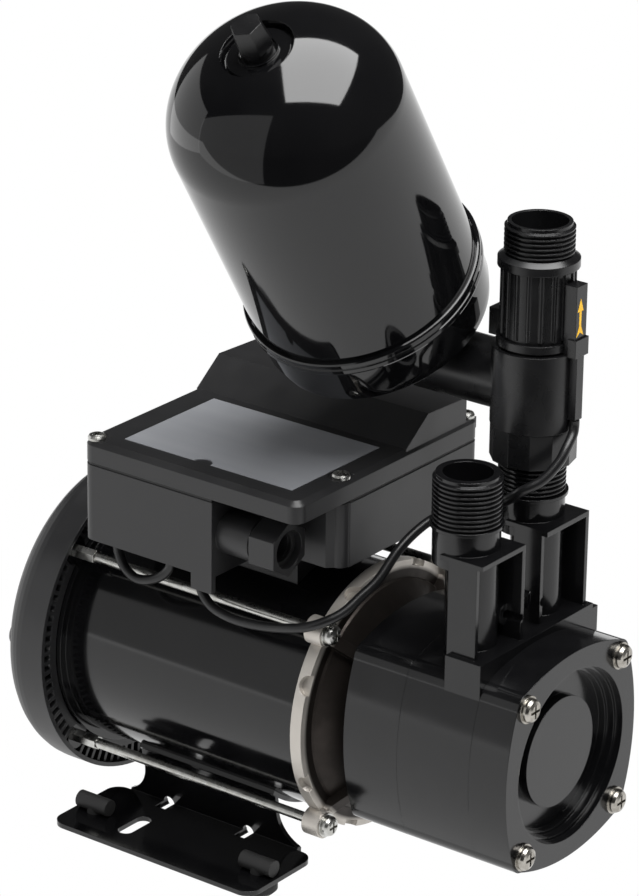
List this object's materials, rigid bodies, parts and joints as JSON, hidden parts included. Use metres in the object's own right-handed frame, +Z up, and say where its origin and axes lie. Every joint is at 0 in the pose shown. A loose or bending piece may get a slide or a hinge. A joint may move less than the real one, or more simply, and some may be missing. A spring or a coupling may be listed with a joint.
{
  "type": "shower pump",
  "caption": "Electric shower pump with upright threaded ports, a leaning pressure vessel, a flow switch and a terminal box on a motor with a slotted foot.",
  "frame": {"origin": "Midway between the centres of the two fixing slots, on the underside of the foot plate. The motor axis runs 64 mm above it.", "axes": "+X runs along the motor axis from the fan cowl to the pump's front cover, +Z is up, and -Y is the side of the inlet port and of the cable gland."},
  "size_m": [0.2406, 0.16, 0.3549],
  "materials": {
    "black_paint": "satin black paint on steel",
    "vessel_paint": "glossy black powder coat",
    "black_moulding": "satin black glass-filled moulding",
    "grey_moulding": "fine-grained matt black moulding",
    "cast_alloy": "raw die-cast aluminium",
    "zinc_plate": "bright zinc plating",
    "stainless": "plain stainless steel",
    "core_steel": "laminated electrical steel",
    "copper_wire": "enamelled copper wire",
    "valve_brass": "turned brass",
    "black_rubber": "matt black rubber",
    "lead_sheath": "smooth black cable sheath",
    "white_moulding": "natural white plastic",
    "ceramic": "lapped ceramic",
    "board_green": "green lacquered circuit board",
    "yellow_ink": "yellow screen-printed arrow",
    "silver_foil": "satin silver foil"
  },
  "bodies": {
    "housing": {"motor_shell": "black_paint", "stator_core": "core_steel", "windings": "copper_wire", "rear_bearing": "stainless", "front_bearing": "stainless", "rear_bracket": "black_paint", "front_bracket": "cast_alloy", "fan_cowl": "grey_moulding", "tie_screws": "zinc_plate", "tie_screw_washers": "zinc_plate", "tie_screw_nuts": "zinc_plate", "pump_adapter": "black_moulding", "adapter_screws": "zinc_plate", "seal_seat": "ceramic", "pump_body": "black_moulding", "body_seal": "black_rubber", "cover_seal": "black_rubber", "pump_cover": "black_moulding", "cover_screws": "stainless", "coupling_nut": "black_moulding", "coupling_washer": "black_rubber", "tee_body": "black_moulding", "valve_body": "black_moulding", "valve_seal": "black_rubber", "check_spring": "stainless", "valve_clip": "black_moulding", "reed_housing": "black_moulding", "reed_switch": "white_moulding", "switch_lead": "lead_sheath", "vessel_elbow": "black_moulding", "vessel_base": "vessel_paint", "vessel_dome": "vessel_paint", "vessel_band": "vessel_paint", "vessel_diaphragm": "black_rubber", "dome_washer": "vessel_paint", "air_stem": "valve_brass", "air_cap": "black_moulding", "box_base": "grey_moulding", "box_lid": "grey_moulding", "lid_gasket": "black_rubber", "lid_screws": "zinc_plate", "label_plate": "silver_foil", "gland_seal": "black_rubber", "gland_nut": "grey_moulding", "capacitor": "white_moulding", "circuit_board": "board_green", "terminal_block": "white_moulding", "motor_lead": "lead_sheath", "foot_cradle": "black_paint", "rubber_feet": "black_rubber"},
    "rotor": {"rotor_core": "core_steel", "shaft": "stainless", "fan": "grey_moulding", "seal_head": "stainless", "impeller": "white_moulding"},
    "float": {"flow_float": "white_moulding"},
    "valve": {"check_valve": "white_moulding"},
    "pin": {"air_pin": "valve_brass"}
  },
  "joints": [
    {"name": "rotor_spin", "type": "hinge", "parent": "housing", "child": "rotor", "pos_m": [0.05, 0, 0.064], "axis": [1, 0, 0], "continuous": true},
    {"name": "float_lift", "type": "slide", "parent": "housing", "child": "float", "axis": [0, 0, 1], "range_m": [0, 0.006]},
    {"name": "check_lift", "type": "slide", "parent": "housing", "child": "valve", "axis": [0, 0, 1], "range_m": [0, 0.004], "stiffness_N_per_m": 60, "springref_m": -0.005, "deforming": ["check_spring"]},
    {"name": "pin_press", "type": "slide", "parent": "housing", "child": "pin", "axis": [0, 0.5329, -0.8462], "range_m": [0, 0.0012], "stiffness_N_per_m": 500, "springref_m": -0.002}
  ]
}
